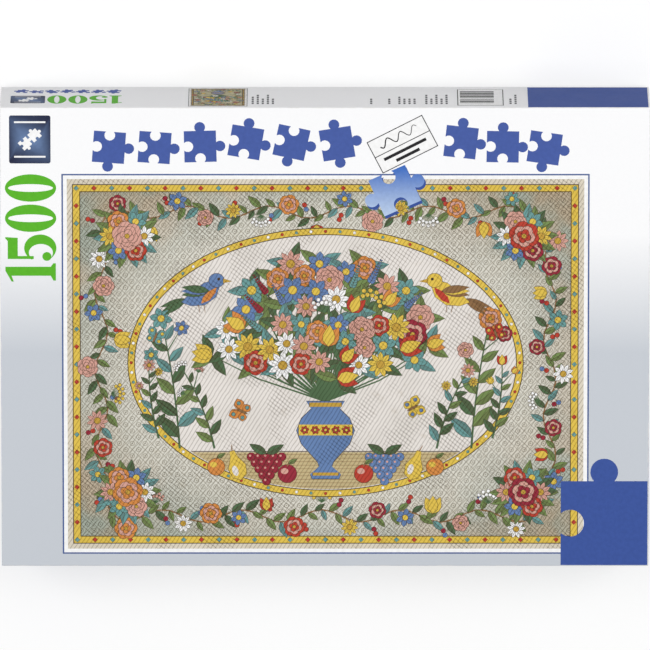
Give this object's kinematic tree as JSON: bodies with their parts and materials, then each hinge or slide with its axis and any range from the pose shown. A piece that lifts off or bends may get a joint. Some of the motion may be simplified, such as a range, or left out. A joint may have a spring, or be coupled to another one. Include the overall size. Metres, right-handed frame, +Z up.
{
  "type": "boxed jigsaw puzzle",
  "caption": "Flat two-part rigid cardboard box with a lift-off printed lid, holding a sealed film bag of loose interlocking jigsaw pieces.",
  "frame": {"origin": "middle of the box's underside", "axes": "+Z up through the lid's printed face, +X along the length of the printed picture towards its right, +Y towards the picture's top"},
  "size_m": [0.373, 0.272, 0.055],
  "materials": {
    "lid_print": "satin",
    "base_paper": "satin",
    "greyboard": "matte",
    "stay_tape": "matte",
    "bag_film": "gloss",
    "puzzle_board": "satin"
  },
  "bodies": {
    "base": {"base_bottom_sheet": "base_paper", "base_board": "greyboard", "base_wrap": "base_paper", "base_corner_stay_1": "stay_tape", "base_corner_stay_2": "stay_tape", "base_corner_stay_3": "stay_tape", "base_corner_stay_4": "stay_tape"},
    "lid": {"lid_board": "greyboard", "lid_wrap": "lid_print", "lid_corner_stay_1": "stay_tape", "lid_corner_stay_2": "stay_tape", "lid_corner_stay_3": "stay_tape", "lid_corner_stay_4": "stay_tape"},
    "bag": {"bag_film": "bag_film", "corner_piece_1": "puzzle_board", "corner_piece_2": "puzzle_board", "corner_piece_3": "puzzle_board", "corner_piece_4": "puzzle_board", "edge_pieces": "puzzle_board", "inner_pieces_lower": "puzzle_board", "inner_pieces_middle": "puzzle_board", "inner_pieces_upper": "puzzle_board"}
  },
  "joints": [
    {"name": "lid_lift", "type": "slide", "parent": "base", "child": "lid", "axis": [0, 0, 1], "range_m": [0, 0.15]},
    {"name": "bag_lift", "type": "slide", "parent": "base", "child": "bag", "axis": [0, 0, 1], "range_m": [0, 0.075]}
  ],
  "couplings": [
    {"joint": "bag_lift", "follows": "lid_lift", "ratio": 0.5}
  ]
}
